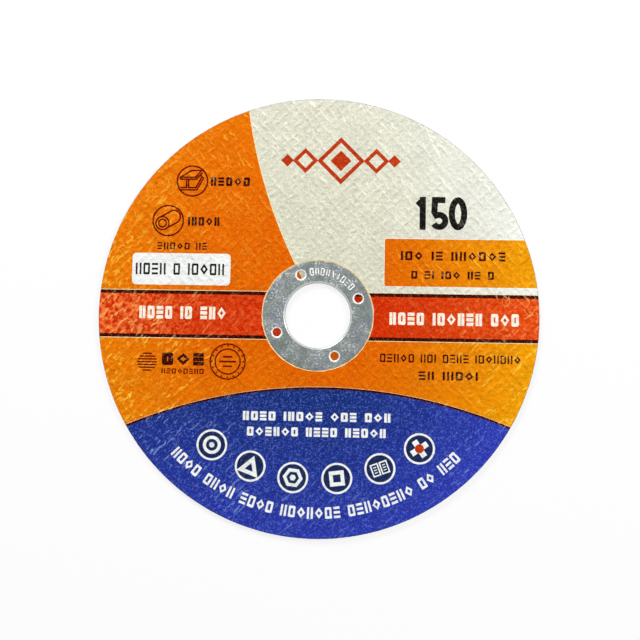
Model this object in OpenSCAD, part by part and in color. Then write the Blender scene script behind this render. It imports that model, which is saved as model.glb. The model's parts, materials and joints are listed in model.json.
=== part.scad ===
// A thin resin-bonded cut-off wheel, lying on its back with the printed label up.
// Origin: the bore axis at the back face. +Z points out of the label, +Y to the label's top.

/* [Wheel] */
// Outer diameter of the wheel
wheel_d = 150; // [125:1:230]
// Thickness of the wheel at its rim, label included
wheel_t = 1.6; // [1.4:0.1:3.2]
// Corner worn round on the moulded rim, at the front and the back
rim_break = 0.08; // [0.04:0.01:0.12]

/* [Arbor ring] */
// Diameter of the bore that fits the spindle
bore_d = 22.23; // [20:0.01:25.4]
// Diameter of the ring's flange on the front
flange_d = 37.3; // [36:0.1:42]
// Thickness of the pressed sheet that the ring is made of
sheet_t = 0.3; // [0.2:0.02:0.4]
// Outside radius of the bend from the flange into the collar
mouth_r = 0.57; // [0.5:0.01:0.65]
// Height of the flange's face over the label
flange_proud = 0.12; // [0.06:0.01:0.18]
// Distance from the collar's end up to the back face
collar_short = 0.15; // [0.05:0.01:0.25]
// Number of keying holes in the flange
key_holes = 4; // [3:1:6]
// Diameter of the circle that the keying holes lie on
key_pcd = 30; // [29.5:0.1:31]
// Diameter of each keying hole
key_d = 2.9; // [2:0.1:3.1]
// Width of the pressed bevel round each keying hole
key_bevel_w = 0.5; // [0.3:0.05:0.6]
// Depth of that bevel
key_bevel_h = 0.15; // [0.05:0.01:0.18]
// Angle of the first keying hole from +X
key_turn = 23.4; // [0:0.1:90]

/* [Label sheet] */
// Thickness of the label paper
paper_t = 0.1; // [0.06:0.01:0.16]
// Width of bare abrasive left between the label and the rim
bare_w = 0.15; // [0.13:0.01:0.6]

/* [Label print] */
// Distance between the centre lines of the band's two dark rules
band_w = 15; // [12:0.5:18]
// Height of the band's centre line over the bore axis
band_y = -0.25; // [-2:0.05:2]
// Width of each dark rule
rule_w = 1.2; // [0.6:0.1:2]
// Radius of the arc that closes the lower field
lower_r = 168; // [140:1:220]
// Place of that arc's highest point across the label
lower_x = 2.2; // [-4:0.1:4]
// Distance from the band's lower rule down to that arc's highest point
lower_drop = 16.55; // [14:0.05:20]
// Width of the dark line along that arc
lower_line_w = 0.5; // [0.3:0.1:1]
// Radius of the arc that closes the upper pale field on its left
pale_r = 177; // [150:1:220]
// Place of that arc's left end where it meets the band
pale_x = -2.3; // [-8:0.1:0]
// Height of that arc's centre
pale_centre_y = 97; // [80:1:120]
// Left edge of the size block
block_x = 22.5; // [20:0.5:26]
// Pale gap between the band's upper rule and the size block
block_gap = 2.45; // [1.5:0.05:4]
// Height of the size block
block_h = 16.3; // [14:0.1:18]
// Corner radius of the size block
block_corner_r = 0.7; // [0.3:0.1:1.5]
// Length of the white plate
plate_w = 33.8; // [28:0.1:36]
// Height of the white plate
plate_h = 10.9; // [8:0.1:11.5]
// Corner radius of the white plate
plate_corner_r = 1.4; // [0.5:0.1:2.5]
// Place of the white plate's centre across the label
plate_x = -47; // [-48:0.1:-45]
// Gap between the band's upper rule and the white plate
plate_gap = 1.9; // [1:0.1:3]
// Number of round sign frames in the lower field
signs = 6; // [2:2:6]
// Diameter of a sign frame
sign_d = 10.4; // [7:0.1:11.5]
// Width of a sign frame's line
sign_line_w = 0.7; // [0.4:0.1:1]
// Radius of the arc that the sign frames lie on
sign_arc_r = 61.7; // [58:0.1:64]
// Height of that arc's centre
sign_arc_y = 6.5; // [4:0.1:8]
// Angle from one sign frame to the next
sign_step = 13.8; // [12:0.1:15]

/* [Hidden] */
$fn = 180;

// Running clearance between the collar and the moulded bore
collar_gap = 0.02;
// Gap round the flange's edge in its seat
seat_gap = 0.1;
// Width of the slope on which the paper dips into the seat
seat_slope = 0.2;
// How far a cutting shape runs past what it cuts
overrun = 1;

wheel_r = wheel_d / 2;
body_t = wheel_t - paper_t;
bore_r = bore_d / 2;
collar_r = bore_r + sheet_t;
flange_r = flange_d / 2;
flange_top = wheel_t + flange_proud;
flange_bottom = flange_top - sheet_t;
bend_r = bore_r + mouth_r;
bend_z = flange_top - mouth_r;

// The seat for the flange is pressed into the moulding, and the paper goes down with it.
moulded_bore_r = collar_r + collar_gap;
seat_r = flange_r + seat_gap;
seat_z = flange_bottom - paper_t;
label_r = wheel_r - bare_w;

// Heights of the printed band's two edges
band_top = band_y + band_w / 2;
band_bottom = band_y - band_w / 2;
rule_top = band_top + rule_w / 2;
rule_bottom = band_bottom - rule_w / 2;
block_y = rule_top + block_gap;
plate_y = rule_top + plate_gap + plate_h / 2;
lower_y = band_bottom - lower_drop;
// Centre of the arc on the left of the pale field, from the point where it meets the band
pale_drop = pale_centre_y - band_top;
pale_centre_x = pale_x + sqrt(pale_r * pale_r - pale_drop * pale_drop);

// Colours of the moulding, the steel and the inks
GRIT = "#3b3733";
STEEL = "#8d9390";
ORANGE = "#e0740b";
RED = "#d0400f";
BLUE = "#283c86";
PALE = "#deddc8";
WHITE = "#f4f2e8";
DARK = "#1c120f";

// Moulded abrasive disc: glass nets and grit in one resin body, stepped down for the flange.
module abrasive_disc() {
    color(GRIT)
    rotate_extrude()
    polygon([
        [moulded_bore_r, 0],
        [wheel_r - rim_break, 0],
        [wheel_r, rim_break],
        [wheel_r, body_t - rim_break],
        [wheel_r - rim_break, body_t],
        [seat_r + seat_slope, body_t],
        [seat_r, seat_z],
        [bend_r, seat_z],
        [moulded_bore_r, bend_z]
    ]);
}

// Plain paper of one thickness that follows the face of the moulding and the seat.
module paper(t) {
    rotate_extrude()
    polygon([
        [bend_r, seat_z],
        [seat_r, seat_z],
        [seat_r + seat_slope, body_t],
        [label_r, body_t],
        [label_r, body_t + t],
        [seat_r + seat_slope, body_t + t],
        [seat_r, seat_z + t],
        [bend_r, seat_z + t]
    ]);
}

// The part of the paper under a flat outline, in one ink.
module printed(ink) {
    color(ink)
    intersection() {
        paper(paper_t);
        linear_extrude(height = wheel_t + overrun)
        children();
    }
}

// Rectangle with round corners, centred.
module rounded(w, h, r) {
    square([w - 2 * r, h], center = true);
    square([w, h - 2 * r], center = true);
    for (x = [-1, 1], y = [-1, 1])
        translate([x * (w / 2 - r), y * (h / 2 - r)])
        circle(r = r);
}

// Strip right across the label from one height to another.
module strip(low, high) {
    translate([-wheel_r, low])
    square([wheel_d, high - low]);
}

// Everything under the lower arc, or inside it by the width of its line.
module lower_area(inset) {
    translate([lower_x, lower_y - lower_r])
    circle(r = lower_r - inset, $fn = 4 * $fn);
}

module rules() {
    for (y = [band_bottom, band_top])
        strip(y - rule_w / 2, y + rule_w / 2);
}

module size_block() {
    block_w = wheel_r - block_x + block_corner_r;
    translate([block_x + block_w / 2, block_y + block_h / 2])
    rounded(block_w, block_h, block_corner_r);
}

module white_plate() {
    translate([plate_x, plate_y])
    rounded(plate_w, plate_h, plate_corner_r);
}

// Pale field over the band, from its left arc to the rim, round the size block.
module pale_area() {
    difference() {
        intersection() {
            translate([pale_centre_x, pale_centre_y])
            circle(r = pale_r, $fn = 4 * $fn);
            strip(rule_top, wheel_r);
        }
        size_block();
    }
}

// One disc in each place of the row of sign frames.
module sign_places(r) {
    for (i = [0 : signs - 1])
        translate([0, sign_arc_y])
        rotate((i - (signs - 1) / 2) * sign_step)
        translate([0, -sign_arc_r])
        circle(r = r);
}

module sign_frames() {
    difference() {
        sign_places(sign_d / 2);
        sign_places(sign_d / 2 - sign_line_w);
    }
}

// Printed paper label: fields of ink that together cover the sheet, on its unprinted back.
module label() {
    color(WHITE)
    paper(paper_t / 2);

    printed(RED)
    strip(band_bottom + rule_w / 2, band_top - rule_w / 2);

    printed(DARK)
    rules();

    printed(DARK)
    difference() {
        lower_area(0);
        lower_area(lower_line_w);
    }

    printed(BLUE)
    difference() {
        lower_area(lower_line_w);
        sign_frames();
    }

    printed(WHITE)
    sign_frames();

    printed(WHITE)
    white_plate();

    printed(PALE)
    pale_area();

    printed(ORANGE)
    difference() {
        circle(r = wheel_r);
        strip(rule_bottom, rule_top);
        lower_area(0);
        white_plate();
        pale_area();
    }
}

// Section of the pressed ring: flange, bend and collar in one thickness of sheet.
module ring_section() {
    translate([bend_r, flange_bottom])
    square([flange_r - bend_r, sheet_t]);
    translate([bore_r, collar_short])
    square([sheet_t, bend_z - collar_short]);
    translate([bend_r, bend_z])
    intersection() {
        difference() {
            circle(r = mouth_r);
            circle(r = mouth_r - sheet_t);
        }
        translate([-mouth_r, 0])
        square(mouth_r);
    }
}

// Pressed steel arbor ring with its bevelled keying holes.
module arbor_ring() {
    color(STEEL)
    difference() {
        rotate_extrude()
        ring_section();
        for (i = [0 : key_holes - 1])
            rotate(key_turn + i * 360 / key_holes)
            translate([key_pcd / 2, 0, 0]) {
                cylinder(d = key_d, h = flange_top + overrun, $fn = 48);
                translate([0, 0, flange_top - key_bevel_h])
                cylinder(r1 = key_d / 2, r2 = key_d / 2 + key_bevel_w, h = key_bevel_h, $fn = 48);
            }
    }
}

abrasive_disc();
label();
arbor_ring();
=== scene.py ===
import json
import math

import bmesh
import bpy
import numpy as np
from bpy.props import FloatProperty, FloatVectorProperty, IntProperty, PointerProperty
from mathutils import Matrix, Vector
from mathutils.geometry import delaunay_2d_cdt
from mathutils.kdtree import KDTree


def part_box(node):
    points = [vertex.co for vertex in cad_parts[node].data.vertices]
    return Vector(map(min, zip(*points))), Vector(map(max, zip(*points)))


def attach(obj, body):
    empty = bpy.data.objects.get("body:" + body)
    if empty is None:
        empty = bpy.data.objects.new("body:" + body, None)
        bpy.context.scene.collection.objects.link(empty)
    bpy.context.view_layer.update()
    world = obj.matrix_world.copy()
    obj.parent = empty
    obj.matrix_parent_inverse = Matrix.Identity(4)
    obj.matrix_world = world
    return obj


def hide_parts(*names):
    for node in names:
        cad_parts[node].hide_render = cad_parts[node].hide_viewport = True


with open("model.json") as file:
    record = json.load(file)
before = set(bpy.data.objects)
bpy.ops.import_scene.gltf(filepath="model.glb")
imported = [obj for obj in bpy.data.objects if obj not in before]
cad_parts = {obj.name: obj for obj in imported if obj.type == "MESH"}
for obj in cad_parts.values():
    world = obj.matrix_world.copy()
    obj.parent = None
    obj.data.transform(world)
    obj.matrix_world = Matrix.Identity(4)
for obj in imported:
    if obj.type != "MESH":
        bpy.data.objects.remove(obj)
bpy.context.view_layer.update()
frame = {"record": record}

bl_info = {
    "name": "Cut-off wheel dresser",
    "version": (1, 0, 0),
    "blender": (4, 5, 0),
    "location": "3D View > Sidebar > Wheel",
    "description": "Builds the label, the moulding and the arbor ring of a thin cut-off wheel",
    "category": "Object",
}

MM = 0.001
BODY = "root"
DISC_LOW, DISC_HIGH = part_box("abrasive_disc")
LABEL_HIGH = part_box("label")[1]
RING_LOW, RING_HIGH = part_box("arbor_ring")
MOUNTS = {mount["name"]: mount for mount in frame["record"]["mounts"]}

# Sizes that the frame gives, in millimetres like every plane figure below
WHEEL_R = DISC_HIGH.x / MM
LABEL_R = LABEL_HIGH.x / MM
FLANGE_R = RING_HIGH.x / MM
BORE_R = MOUNTS["spindle_bore"]["dims"]["r_mm"]
FACE_Z = LABEL_HIGH.z / MM
BODY_Z = DISC_HIGH.z / MM
FLANGE_Z = RING_HIGH.z / MM
COLLAR_Z = RING_LOW.z / MM

# How far the figures reach that run off the label, whose own edge then cuts them
PAST_RIM = WHEEL_R + 1


def length(name, default_mm, text):
    """One size of the wheel, kept in metres and written here in millimetres."""
    return FloatProperty(name=name, description=text, default=default_mm * MM, unit="LENGTH", precision=5)


def angle(name, default_deg, text):
    return FloatProperty(name=name, description=text, default=math.radians(default_deg), unit="ROTATION")


def amount(name, default, text, unit="NONE"):
    """A number from nought upwards."""
    return FloatProperty(name=name, description=text, default=default, min=0, unit=unit)


def whole(name, default, least, most, text):
    return IntProperty(name=name, description=text, default=default, min=least, max=most)


def colour(name, red, green, blue, text):
    """A colour as a printer would write it, from 0 to 255 in each channel."""
    light = to_linear((red, green, blue))
    return FloatVectorProperty(name=name, description=text, default=light, subtype="COLOR", min=0, max=1)


def to_linear(printed):
    """The light in each channel of a colour that is written from 0 to 255."""
    values = [channel / 255 for channel in printed]
    return [v / 12.92 if v <= 0.04045 else ((v + 0.055) / 1.055) ** 2.4 for v in values]


class PrintSizes(bpy.types.PropertyGroup):
    """Places and sizes of the printed fields, as the part's source has them."""

    band_width: length("Band width", 15.0, "Distance between the centre lines of the two dark rules")
    band_height: length("Band height", -0.25, "Height of the band's centre line over the bore axis")
    rule_width: length("Rule width", 1.2, "Width of each dark rule")
    lower_radius: length("Lower arc radius", 168.0, "Radius of the arc that closes the lower field")
    lower_shift: length("Lower arc shift", 2.2, "Place of the lower arc's top across the label")
    lower_drop: length("Lower arc drop", 16.55, "Distance from the band's lower rule to the arc's top")
    lower_line: length("Lower arc line", 0.72, "Width of the dark line along the lower arc")
    pale_radius: length("Pale arc radius", 177.0, "Radius of the arc on the left of the pale field")
    pale_foot: length("Pale arc foot", -2.3, "Where that arc meets the band")
    pale_centre: length("Pale arc centre", 97.0, "Height of that arc's centre")
    block_left: length("Size block left", 22.5, "Left edge of the size block")
    block_gap: length("Size block gap", 2.45, "Pale gap between the upper rule and the size block")
    block_height: length("Size block height", 16.3, "Height of the size block")
    block_corner: length("Size block corner", 0.7, "Corner radius of the size block")
    ink_gap: length("Ink gap", 0.2, "Unprinted hairline between two inks")
    plate_width: length("Plate width", 33.8, "Length of the white plate")
    plate_height: length("Plate height", 10.9, "Height of the white plate")
    plate_corner: length("Plate corner", 1.4, "Corner radius of the white plate")
    plate_place: length("Plate place", -47.0, "Place of the plate's centre across the label")
    plate_gap: length("Plate gap", 1.9, "Gap between the upper rule and the plate")
    sign_count: whole("Signs", 6, 2, 6, "Number of round signs")
    sign_diameter: length("Sign diameter", 10.4, "Diameter of a round sign")
    sign_line: length("Sign line", 0.7, "Width of a sign's frame")
    sign_radius: length("Sign arc radius", 61.7, "Radius of the arc that the signs lie on")
    sign_centre: length("Sign arc centre", 6.5, "Height of that arc's centre")
    sign_step: angle("Sign step", 13.8, "Angle from one sign to the next")


class InkColours(bpy.types.PropertyGroup):
    """Each ink at the middle of the label and, as a lighter copy that paints light, at the rim."""

    orange: colour("Orange", 222, 90, 0, "Orange ink near the ring")
    orange_rim: colour("Orange rim", 240, 167, 4, "Orange ink at the rim")
    red: colour("Red", 206, 41, 0, "Red ink near the ring")
    red_rim: colour("Red rim", 228, 72, 8, "Red ink at the rim")
    blue: colour("Blue", 14, 44, 106, "Blue ink near the ring")
    blue_rim: colour("Blue rim", 51, 62, 192, "Blue ink at the rim")
    navy: colour("Navy", 20, 36, 78, "Dark ground of the signs")
    navy_rim: colour("Navy rim", 26, 42, 90, "Dark ground of the signs at the rim")
    pale: colour("Pale", 213, 212, 189, "Unprinted varnished paper near the ring")
    pale_rim: colour("Pale rim", 243, 245, 242, "Unprinted varnished paper at the rim")
    white: colour("White", 240, 242, 239, "White ink near the ring")
    white_rim: colour("White rim", 246, 249, 250, "White ink at the rim")
    dark: colour("Dark", 50, 2, 0, "Dark ink near the ring")
    dark_rim: colour("Dark rim", 58, 5, 0, "Dark ink at the rim")
    line: colour("Line", 98, 4, 0, "Red-brown ink of the line drawings")
    line_rim: colour("Line rim", 104, 8, 0, "Red-brown ink of the line drawings at the rim")
    black: colour("Black", 12, 12, 9, "Ink of the big number")
    black_rim: colour("Black rim", 18, 18, 14, "Ink of the big number at the rim")
    emblem: colour("Emblem", 180, 48, 10, "Red-brown ink of the emblem")
    emblem_rim: colour("Emblem rim", 206, 66, 14, "Red-brown ink at the rim")
    warm: colour("Warm white", 251, 238, 216, "Ink of the words on the red band")
    warm_rim: colour("Warm white rim", 252, 242, 226, "The same at the rim")
    cream: colour("Cream", 250, 228, 176, "Bare paper at the edge of the seat and between two inks")
    cream_rim: colour("Cream rim", 250, 228, 176, "The same at the rim")


class ReliefSizes(bpy.types.PropertyGroup):
    """The glass net under the paper and on the back, the grit, the rim and the meshes."""

    net_pitch: length("Net pitch", 2.54, "Distance from one strand of the net to the next")
    net_turn: angle("Net turn", 42.0, "Direction of the first set of strands")
    strand_width: length("Strand width", 1.25, "Width of one strand under the paper")
    paper_depth: length("Paper depth", 0.15, "How far a strand lifts the paper")
    back_depth: length("Back depth", 0.11, "How far a strand stands out on the back")
    grain_depth: length("Grain depth", 0.04, "Height of the grit under the paper")
    rim_break: length("Rim break", 0.08, "Corner worn round on the moulded rim")
    rim_grit: length("Rim grit", 0.05, "Depth of the pits between the grains on the rim")
    paper_step: length("Paper mesh", 0.52, "Distance between the points of the label's mesh")
    back_step: length("Back mesh", 0.72, "Distance between the points of the back's mesh")


class RingSizes(bpy.types.PropertyGroup):
    """The pressed steel ring, as the part's source has it."""

    sheet: length("Sheet", 0.3, "Thickness of the pressed sheet")
    mouth: length("Mouth radius", 0.57, "Outside radius of the bend into the collar")
    seat_gap: length("Seat gap", 0.1, "Gap round the flange's edge in its seat")
    seat_slope: length("Seat slope", 0.2, "Width of the slope into the seat")
    collar_gap: length("Collar gap", 0.02, "Clearance between the collar and the moulded bore")
    key_count: whole("Keying holes", 4, 3, 6, "Number of keying holes")
    key_circle: length("Keying circle", 30.0, "Diameter of the circle of keying holes")
    key_diameter: length("Keying hole", 2.9, "Diameter of a keying hole")
    bevel_width: length("Bevel width", 0.5, "Width of the bevel round a keying hole")
    bevel_depth: length("Bevel depth", 0.15, "Depth of that bevel")
    key_turn: angle("Keying turn", 23.4, "Angle of the first keying hole")


class StudioSettings(bpy.types.PropertyGroup):
    """Camera and lamps."""

    distance: length("Camera distance", 300.0, "Distance of the camera from the point that it looks at")
    tilt: angle("Camera tilt", 4.243, "Angle of the view from straight down")
    turn: angle("Camera turn", -67.76, "Side that the camera leans to, counted from +X")
    roll: angle("Camera roll", 1.004, "Anticlockwise turn of the camera about its line of sight")
    aim_x: length("Aim across", 0.795, "Point looked at, across the label")
    aim_y: length("Aim up", -1.455, "Point looked at, up the label")
    focal: length("Focal length", 49.4, "Focal length on a 36 mm wide picture")
    sky: amount("Sky", 0.33, "Strength of the even light")
    key_lamp: amount("Key lamp", 7.4, "Power of the lamp on the left in watts", "POWER")
    side_lamp: amount("Side lamp", 4.6, "Power of the lamp on the right in watts", "POWER")


# Plane figures, in millimetres, anticlockwise

def on_circle(x, y, r, turns):
    """One point on a circle for each angle."""
    return [(x + r * math.cos(t), y + r * math.sin(t)) for t in turns]


def regular(x, y, r, sides, turn=0.0):
    """The corners of a figure with equal sides."""
    return on_circle(x, y, r, [turn + 2 * math.pi * i / sides for i in range(sides)])


def circle(x, y, r, step=0.5):
    return regular(x, y, r, max(16, int(math.ceil(2 * math.pi * r / step))))


def arc(x, y, r, start, end, step=0.5):
    """Points on a circle from one angle to another, both included."""
    count = max(2, int(math.ceil(abs(end - start) * r / step)))
    return on_circle(x, y, r, [start + (end - start) * i / count for i in range(count + 1)])


def box(x, y, w, h):
    left, right, low, high = x - w / 2, x + w / 2, y - h / 2, y + h / 2
    return [(left, low), (right, low), (right, high), (left, high)]


def rounded_box(x, y, w, h, r):
    quarter = math.pi / 2
    points = []
    for i, (sx, sy) in enumerate(((1, 1), (-1, 1), (-1, -1), (1, -1))):
        points += arc(x + sx * (w / 2 - r), y + sy * (h / 2 - r), r, i * quarter, (i + 1) * quarter)
    return points


def annulus(x, y, inner, outer, parts=2):
    """A ring as equal bent strips, because a figure has one outline."""
    strips = []
    for i in range(parts):
        start, end = 2 * math.pi * i / parts, 2 * math.pi * (i + 1) / parts
        strips.append(arc(x, y, outer, start, end) + arc(x, y, inner, end, start))
    return strips


def ribbon(path, width, closed=False):
    """A line of even width along a path, as one four-sided figure for each stretch."""
    least_cosine = 0.5
    points = np.array(path, float)
    ahead = np.roll(points, -1, axis=0) - points
    if not closed:
        ahead[-1] = ahead[-2]
    ahead /= np.linalg.norm(ahead, axis=1)[:, None]
    behind = np.roll(ahead, 1, axis=0)
    if not closed:
        behind[0] = ahead[0]
    normal = np.stack([-(ahead + behind)[:, 1], (ahead + behind)[:, 0]], axis=1)
    normal /= np.linalg.norm(normal, axis=1)[:, None]
    miter = 1 / np.maximum((normal * np.stack([-ahead[:, 1], ahead[:, 0]], axis=1)).sum(1), least_cosine)
    left = points + normal * (miter * width / 2)[:, None]
    right = points - normal * (miter * width / 2)[:, None]
    quads = []
    for i in range(len(points) if closed else len(points) - 1):
        j = (i + 1) % len(points)
        quads.append([tuple(right[i]), tuple(right[j]), tuple(left[j]), tuple(left[i])])
    return quads


def placed(outline, x, y, turn=0.0):
    """The outline turned about the origin and moved to its place."""
    c, s = math.cos(turn), math.sin(turn)
    return [(x + c * px - s * py, y + s * px + c * py) for px, py in outline]


def anticlockwise(outline):
    area = sum(a[0] * b[1] - b[0] * a[1] for a, b in zip(outline, outline[1:] + outline[:1]))
    return outline if area > 0 else outline[::-1]


def with_steps(outline, step):
    """The outline with points added, so that no stretch is longer than the step."""
    points = []
    for (ax, ay), (bx, by) in zip(outline, outline[1:] + outline[:1]):
        count = max(1, int(math.ceil(math.dist((ax, ay), (bx, by)) / step)))
        points += [(ax + (bx - ax) * i / count, ay + (by - ay) * i / count) for i in range(count)]
    return points


def drawn_in(outline, x, y, share):
    """The outline made smaller about a point."""
    return [(x + (px - x) * share, y + (py - y) * share) for px, py in outline]


# The print, as marks laid over each other from the first to the last

def strip(low, high):
    return box(0, (low + high) / 2, 2 * PAST_RIM, high - low)


def band_edges(p):
    """Heights of the edges of the two rules, from the lower rule's foot up."""
    middle, half, rule = p.band_height / MM, p.band_width / MM / 2, p.rule_width / MM / 2
    return middle - half - rule, middle - half + rule, middle + half - rule, middle + half + rule


def lower_figure(p, inset):
    """What lies under the lower arc, less an inset along it."""
    r = p.lower_radius / MM
    x, y = p.lower_shift / MM, (p.band_height - p.band_width / 2 - p.lower_drop) / MM - r
    half = math.asin((PAST_RIM + abs(x)) / (r - inset))
    top = arc(x, y, r - inset, math.pi / 2 - half, math.pi / 2 + half)
    return top + [(-PAST_RIM, -PAST_RIM), (PAST_RIM, -PAST_RIM)]


def pale_figure(p, gap):
    """The pale field from its left arc to past the rim, with its arc a gap further out."""
    base = band_edges(p)[3]
    r, middle = p.pale_radius / MM, p.pale_centre / MM
    foot_drop = middle - (p.band_height + p.band_width / 2) / MM
    x = p.pale_foot / MM + math.sqrt(r * r - foot_drop * foot_drop)
    r += gap
    top = math.pi - math.asin((PAST_RIM - middle) / r)
    foot = math.pi + math.asin((middle - base) / r)
    return arc(x, middle, r, top, foot) + [(PAST_RIM, base), (PAST_RIM, PAST_RIM)]


def field_marks(p):
    """The fields of colour, with unprinted hairlines between them."""
    low, low_in, high_in, high = band_edges(p)
    block_r = p.block_corner / MM
    block_w, block_h = WHEEL_R + block_r - p.block_left / MM, p.block_height / MM
    block_x, block_y = p.block_left / MM + block_w / 2, high + p.block_gap / MM + block_h / 2
    plate_h = p.plate_height / MM
    plate = rounded_box(
        p.plate_place / MM, high + p.plate_gap / MM + plate_h / 2,
        p.plate_width / MM, plate_h, p.plate_corner / MM,
    )
    gap = p.ink_gap / MM
    return [
        ("orange", circle(0, 0, LABEL_R)),
        ("cream", pale_figure(p, gap)),
        ("pale", pale_figure(p, 0)),
        ("cream", lower_figure(p, -gap / 2)),
        ("dark", lower_figure(p, 0)),
        ("blue", lower_figure(p, p.lower_line / MM)),
        ("cream", strip(low - gap, high + gap)),
        ("dark", strip(low, high)),
        ("red", strip(low_in, high_in)),
        ("white", rounded_box(block_x, block_y, block_w + 2 * gap, block_h + 2 * gap, block_r + gap)),
        ("orange", rounded_box(block_x, block_y, block_w, block_h, block_r)),
        ("white", plate),
    ]


def sign_places(p):
    places = []
    for i in range(p.sign_count):
        turn = (i - (p.sign_count - 1) / 2) * p.sign_step
        x = p.sign_radius / MM * math.sin(turn)
        y = p.sign_centre / MM - p.sign_radius / MM * math.cos(turn)
        places.append((x, y, turn))
    return places


def sign_marks(p):
    """Round signs with plain figures: a disc, a triangle, a hexagon, a square, bars and a cross."""
    r, line, step = p.sign_diameter / MM / 2, p.sign_line / MM, 0.4
    marks = []
    for number, (x, y, turn) in enumerate(sign_places(p)):
        marks.append(("white", circle(x, y, r, step)))
        marks.append(("navy", circle(x, y, r - line, step)))
        for ink, figure in SIGN_FIGURES[number](r - line):
            marks.append((ink, placed(figure, x, y, turn)))
    return marks


def nested(figure, sizes):
    """One figure inside another, white and navy by turns. Sizes are shares of the sign's radius."""
    return [(("white", "navy")[i % 2], figure(size)) for i, size in enumerate(sizes)]


def disc_sign(r):
    return nested(lambda size: circle(0, 0, size * r), (0.68, 0.44, 0.2))


def triangle_sign(r):
    up, drop = math.pi / 2, 0.14 * r
    return nested(lambda size: regular(0, -drop, size * r, 3, up), (0.96, 0.38))


def hexagon_sign(r):
    return nested(lambda size: regular(0, 0, size * r, 6), (0.76, 0.48, 0.24))


def square_sign(r):
    return nested(lambda size: box(0, 0, size * r, size * r), (1.12, 0.56))


def bars_sign(r):
    """Two framed panels side by side, each with three bars."""
    marks = []
    for side in (-1, 1):
        x = side * 0.35 * r
        marks.append(("white", box(x, 0, 0.62 * r, 0.96 * r)))
        marks.append(("navy", box(x, 0, 0.42 * r, 0.76 * r)))
        marks += [("white", box(x, row * 0.2 * r, 0.24 * r, 0.07 * r)) for row in (-1, 0, 1)]
    return marks


def cross_sign(r):
    long, wide, middle = 1.4 * r, 0.44 * r, 0.34 * r
    arms = [("white", box(0, 0, long, wide)), ("white", box(0, 0, wide, long))]
    return arms + [("emblem", circle(0, 0, middle))]


SIGN_FIGURES = (disc_sign, triangle_sign, hexagon_sign, square_sign, bars_sign, cross_sign)

# Stand-ins for words are small upright figures with no letter's form: a bar, two bars, a frame,
# three level bars and a diamond. These are their widths as shares of their height.
FIGURE_WIDTHS = {"1": 0.22, "2": 0.6, "3": 0.68, "4": 0.64, "5": 0.8}


def word_figure(kind, height, stroke):
    """One stand-in, with its lower left corner at the origin: solid figures first, then what is cut out."""
    w = FIGURE_WIDTHS[kind] * height
    x, y = w / 2, height / 2
    if kind == "1":
        return [box(x, y, stroke, height)], []
    if kind == "2":
        return [box(bar, y, stroke, height) for bar in (stroke / 2, w - stroke / 2)], []
    if kind == "3":
        return [rounded_box(x, y, w, height, stroke / 2)], [box(x, y, w - 2 * stroke, height - 2 * stroke)]
    if kind == "4":
        return [box(x, bar, w, stroke) for bar in (stroke / 2, height / 2, height - stroke / 2)], []
    tall, cut = 1.2, 0.4
    diamond = [(x + sx * x, y + sy * x * tall) for sx, sy in ((1, 0), (0, 1), (-1, 0), (0, -1))]
    return [diamond], [drawn_in(diamond, x, y, cut)]


def word_line(pattern, x, y, width, height, stroke_share, ink, ground, bend=0.0):
    """A row of stand-ins centred on a place. A bend gives the radius that the row's feet follow."""
    gap = 0.2 * height
    blank = 0.42 * height
    widths = [blank if kind == " " else FIGURE_WIDTHS[kind] * height for kind in pattern]
    total = sum(widths) + gap * (len(pattern) - 1)
    squeeze = width / total
    marks, at = [], -total / 2
    for kind, w in zip(pattern, widths):
        if kind != " ":
            solid, cut = word_figure(kind, height, stroke_share * height)
            for tone, figures in ((ink, solid), (ground, cut)):
                for figure in figures:
                    local = [((at + px) * squeeze, py - height / 2) for px, py in figure]
                    marks.append((tone, bent(local, x, y, bend)))
        at += w + gap
    return marks


def bent(outline, x, y, radius):
    """The outline moved to its place, or wrapped round the wheel's axis with its top inwards."""
    if not radius:
        return [(x + px, y + py) for px, py in outline]
    turns = [(-math.pi / 2 + px / radius, radius - py) for px, py in outline]
    return [(r * math.cos(t), r * math.sin(t)) for t, r in turns]


def word_marks():
    """Rows of stand-ins where a wheel of this kind has its printed lines.

    Each has its pattern, centre, length, height, stroke as a share of the height, ink, ground and bend.
    """
    lines = [
        ("2343 13 425", -46.2, 0.25, 29.6, 4.3, 0.27, "warm", "red", 0),
        ("2343 135242 353", 46.2, -0.7, 43.6, 4.2, 0.27, "warm", "red", 0),
        ("24353", -30.9, 45.7, 13.5, 3.05, 0.26, "dark", "orange", 0),
        ("12352", -39.7, 31.75, 10.8, 3.05, 0.26, "dark", "orange", 0),
        ("42353 24", -46.9, 23.15, 17.1, 2.4, 0.20, "dark", "orange", 0),
        ("2342 3 13532", -47.5, 15.2, 30.4, 4.0, 0.19, "black", "white", 0),
        ("135 14 225354", 45.7, 20.85, 35.4, 3.1, 0.22, "dark", "orange", 0),
        ("3 41 135 24 3", 45.6, 14.35, 28.0, 2.7, 0.23, "dark", "orange", 0),
        ("34253 231 3424 1352325", 45.0, -14.05, 47.3, 2.85, 0.19, "dark", "orange", 0),
        ("42 12351", 44.4, -19.85, 19.9, 2.9, 0.21, "dark", "orange", 0),
        ("2343 12354 534 352", 0.2, -34.3, 49.8, 3.05, 0.26, "white", "blue", 0),
        ("354253 2443 24352", 0.2, -39.5, 46.8, 3.05, 0.26, "white", "blue", 0),
        ("2353 3252 4353 2352534 34253425 35 243", 0, 0, 106.0, 3.8, 0.215, "white", "blue", 66.4),
    ]
    marks = []
    for line in lines:
        marks += word_line(*line)
    return marks


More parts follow.
